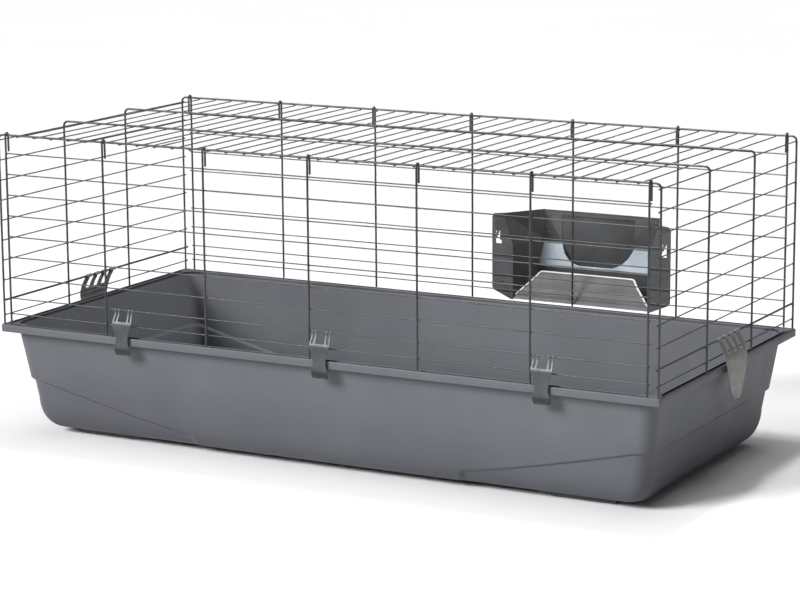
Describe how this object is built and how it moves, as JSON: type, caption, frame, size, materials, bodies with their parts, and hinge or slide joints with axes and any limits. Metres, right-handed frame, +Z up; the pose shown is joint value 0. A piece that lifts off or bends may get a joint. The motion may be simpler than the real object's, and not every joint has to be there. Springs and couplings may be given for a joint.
{
  "type": "indoor rabbit cage",
  "caption": "Indoor wire rabbit cage: moulded plastic tub, lift-off wire top with swinging front and back panels, sheet-metal clips and a hay rack hung outside the back.",
  "frame": {"origin": "on the floor under the middle of the whole object's box", "axes": "+X along the cage's length to its right end seen from the front, +Y to the back, where the hay rack hangs, +Z up"},
  "size_m": [1.1996, 0.6552, 0.5094],
  "materials": {
    "tub_plastic": "fine moulded grain",
    "wire": "satin coating",
    "front_clip_steel": "smooth",
    "end_clip_steel": "smooth",
    "rack_sheet": "satin rolled sheet"
  },
  "bodies": {
    "tub": {"tub": "tub_plastic"},
    "wire_top": {"hoop_wire_1": "wire", "hoop_wire_2": "wire", "hoop_wire_3": "wire", "hoop_wire_4": "wire", "roof_cross_wires": "wire", "left_end_wires": "wire", "right_end_wires": "wire", "left_clip_wire": "wire", "right_clip_wire": "wire"},
    "front_panel": {"front_upright_1": "wire", "front_upright_2": "wire", "front_upright_3": "wire", "front_upright_4": "wire", "front_upright_5": "wire", "front_upright_6": "wire", "front_upright_7": "wire", "front_rails": "wire"},
    "back_panel": {"back_upright_1": "wire", "back_upright_2": "wire", "back_upright_3": "wire", "back_upright_4": "wire", "back_upright_5": "wire", "back_upright_6": "wire", "back_upright_7": "wire", "back_rails": "wire"},
    "hay_rack": {"rack_trough": "rack_sheet", "rack_left_side": "rack_sheet", "rack_right_side": "rack_sheet", "rack_tongue": "rack_sheet"},
    "front_clip_1": {"front_clip_1": "front_clip_steel"},
    "front_clip_2": {"front_clip_2": "front_clip_steel"},
    "front_clip_3": {"front_clip_3": "front_clip_steel"},
    "left_end_clip": {"left_end_clip": "end_clip_steel"},
    "right_end_clip": {"right_end_clip": "end_clip_steel"}
  },
  "joints": [
    {"name": "wire_top_lift", "type": "slide", "parent": "tub", "child": "wire_top", "axis": [0, 0, 1], "range_m": [0, 0.4]},
    {"name": "front_panel_hinge", "type": "hinge", "parent": "wire_top", "child": "front_panel", "pos_m": [0, -0.316, 0.504], "axis": [-1, 0, 0], "range_deg": [0, 170]},
    {"name": "back_panel_hinge", "type": "hinge", "parent": "wire_top", "child": "back_panel", "pos_m": [0, 0.232, 0.504], "axis": [1, 0, 0], "range_deg": [0, 170]},
    {"name": "hay_rack_lift", "type": "slide", "parent": "back_panel", "child": "hay_rack", "axis": [0, 0, 1], "range_m": [0, 0.02]},
    {"name": "front_clip_1_hinge", "type": "hinge", "parent": "front_panel", "child": "front_clip_1", "pos_m": [-0.346, -0.3171, 0.2339], "axis": [-1, 0, 0], "range_deg": [0, 100]},
    {"name": "front_clip_2_hinge", "type": "hinge", "parent": "front_panel", "child": "front_clip_2", "pos_m": [0.021, -0.3171, 0.2339], "axis": [-1, 0, 0], "range_deg": [0, 100]},
    {"name": "front_clip_3_hinge", "type": "hinge", "parent": "front_panel", "child": "front_clip_3", "pos_m": [0.401, -0.3171, 0.2339], "axis": [-1, 0, 0], "range_deg": [0, 100]},
    {"name": "left_end_clip_hinge", "type": "hinge", "parent": "wire_top", "child": "left_end_clip", "pos_m": [-0.5817, -0.042, 0.2299], "axis": [0, 1, 0], "range_deg": [0, 100]},
    {"name": "right_end_clip_hinge", "type": "hinge", "parent": "wire_top", "child": "right_end_clip", "pos_m": [0.5817, -0.042, 0.2299], "axis": [0, -1, 0], "range_deg": [0, 100]}
  ]
}
